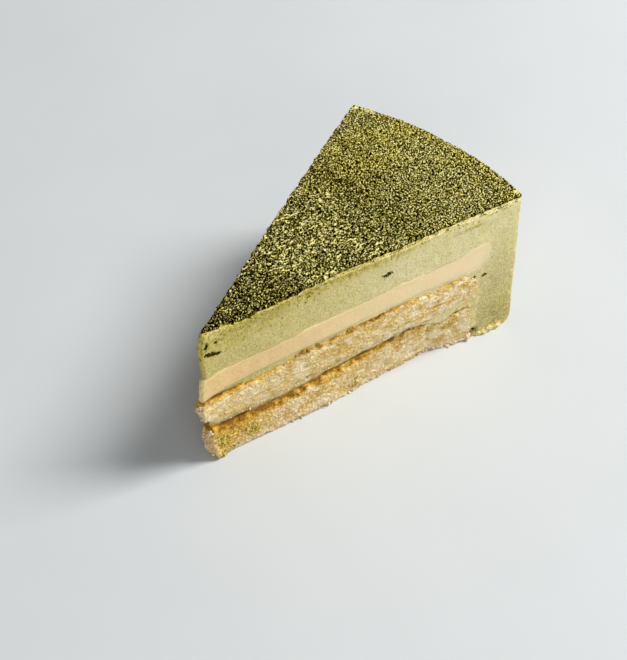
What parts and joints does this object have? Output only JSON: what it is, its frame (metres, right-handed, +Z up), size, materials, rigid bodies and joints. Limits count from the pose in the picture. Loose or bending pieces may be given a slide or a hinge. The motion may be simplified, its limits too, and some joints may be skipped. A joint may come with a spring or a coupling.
{
  "type": "slice of matcha mousse cake",
  "caption": "Wedge cut from a round mousse cake: matcha mousse over a cream insert and sponge layers, with a flat top dusted in green tea powder and a smooth curved rim.",
  "frame": {"origin": "on the surface that the slice stands on, under the middle of its box", "axes": "+X from the tip to the curved rim along the middle of the slice, +Y towards one cut face, +Z up"},
  "size_m": [0.1019, 0.062, 0.0492],
  "materials": {
    "sponge": "dry open crumb, cream to pale yellow, browned along its upper crust",
    "cream": "smooth set cream, pale apricot, soft satin",
    "mousse": "smooth aerated mousse, pale green-yellow, matte with fine pores",
    "dusting": "dry matcha powder in fine clumps, dark olive green with pale specks"
  },
  "bodies": {
    "root": {"lower_sponge": "sponge", "upper_sponge": "sponge", "cream_insert": "cream", "matcha_mousse": "mousse", "matcha_dusting": "dusting"}
  },
  "joints": []
}
